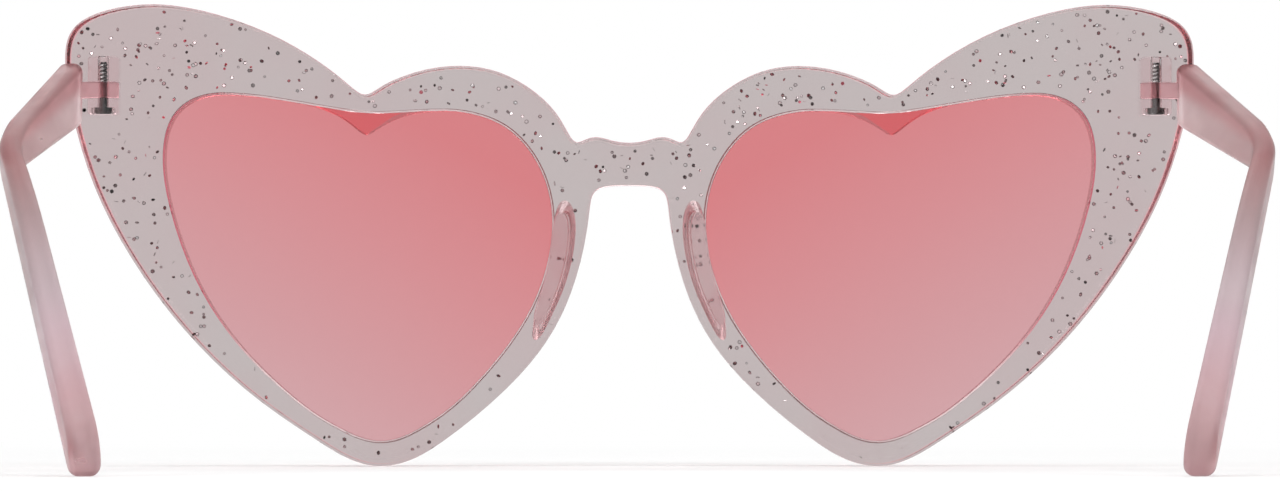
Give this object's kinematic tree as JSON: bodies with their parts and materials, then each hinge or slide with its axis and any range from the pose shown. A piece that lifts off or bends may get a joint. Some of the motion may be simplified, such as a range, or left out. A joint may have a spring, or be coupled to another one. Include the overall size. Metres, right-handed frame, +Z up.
{
  "type": "heart shaped sunglasses",
  "caption": "Heart shaped sunglasses: flared clear pink front with glitter, pink tinted lenses, bonded nose pads and toed-in temples that fold on screw hinges.",
  "frame": {"origin": "middle of the box of the open glasses, on the table that the heart tips and the temple tips stand on", "axes": "+X to the wearer's right, +Y the way the wearer looks, +Z up"},
  "size_m": [0.153, 0.144, 0.061],
  "materials": {
    "front_plastic": "polished clear pink with silver glitter cast in",
    "lens_plastic": "polished, tinted pink, stronger at the top",
    "pad_plastic": "polished clear pink",
    "temple_plastic": "satin, translucent pale pink",
    "screw_steel": "plain"
  },
  "bodies": {
    "front": {"frame_front": "front_plastic", "lens_left": "lens_plastic", "lens_right": "lens_plastic", "nose_pad_left": "pad_plastic", "nose_pad_right": "pad_plastic", "hinge_screw_left": "screw_steel", "hinge_screw_right": "screw_steel"},
    "left_temple": {"temple_left": "temple_plastic"},
    "right_temple": {"temple_right": "temple_plastic"}
  },
  "joints": [
    {"name": "left_temple_hinge", "type": "hinge", "parent": "front", "child": "left_temple", "pos_m": [-0.0691, 0.05539, 0.04941], "axis": [0, 0, 1], "range_deg": [0, 90]},
    {"name": "right_temple_hinge", "type": "hinge", "parent": "front", "child": "right_temple", "pos_m": [0.0691, 0.05539, 0.04941], "axis": [0, 0, -1], "range_deg": [0, 85]}
  ]
}
